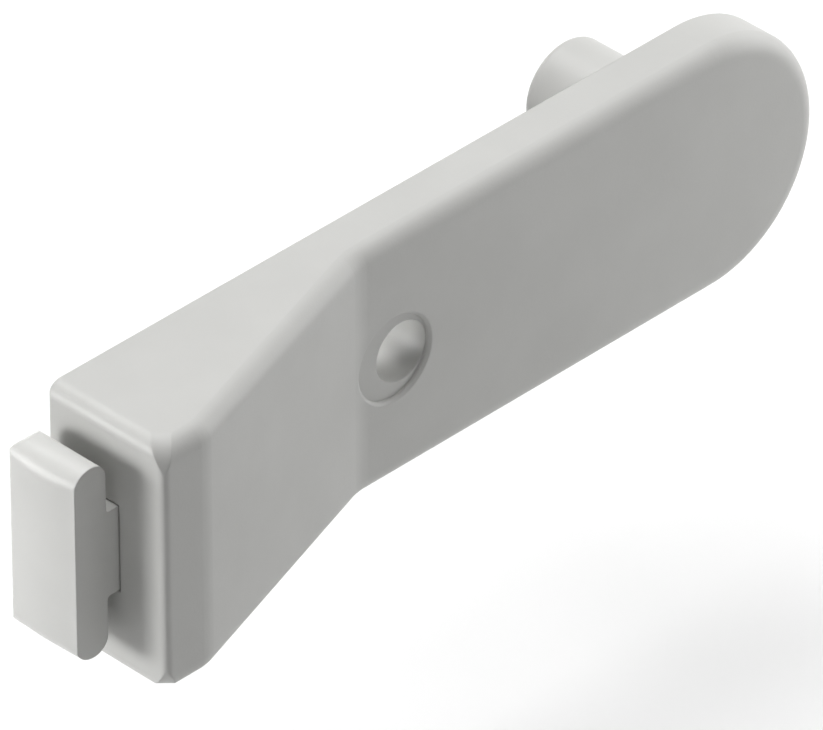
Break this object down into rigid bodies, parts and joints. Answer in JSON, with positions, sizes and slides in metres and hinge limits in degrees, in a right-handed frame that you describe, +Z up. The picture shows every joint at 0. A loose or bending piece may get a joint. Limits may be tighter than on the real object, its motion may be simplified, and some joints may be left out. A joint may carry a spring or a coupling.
{
  "type": "door buffer",
  "caption": "Door buffer: a moulded arm with a locating peg and a screw hole, whose thick end carries a sprung pad that takes a closing door.",
  "frame": {"origin": "on the locating peg's axis, where the peg leaves the flat mounting face", "axes": "+X along the arm towards its round end, +Y out of the mounting face along the peg, +Z up across the arm"},
  "size_m": [0.0753, 0.0222, 0.0206],
  "materials": {
    "arm_plastic": "fine satin moulding",
    "pad_plastic": "smooth satin moulding",
    "cover_plastic": "fine satin moulding",
    "slide_plastic": "smooth natural acetal",
    "stop_rubber": "dull",
    "block_rubber": "dull",
    "pin_steel": "ground",
    "spring_steel": "drawn wire",
    "plate_steel": "stamped sheet"
  },
  "bodies": {
    "arm": {"arm": "arm_plastic", "return_stop": "stop_rubber", "upper_guide_pin": "pin_steel", "lower_guide_pin": "pin_steel", "upper_spring": "spring_steel", "lower_spring": "spring_steel", "thrust_plate": "plate_steel", "damping_block": "block_rubber", "back_cover": "cover_plastic"},
    "buffer": {"buffer_head": "pad_plastic", "slide": "slide_plastic", "cross_pin": "pin_steel"}
  },
  "joints": [
    {"name": "buffer_slide", "type": "slide", "parent": "arm", "child": "buffer", "axis": [1, 0, 0], "range_m": [0, 0.001], "stiffness_N_per_m": 5700, "springref_m": -0.001, "deforming": ["upper_spring", "lower_spring"]}
  ]
}
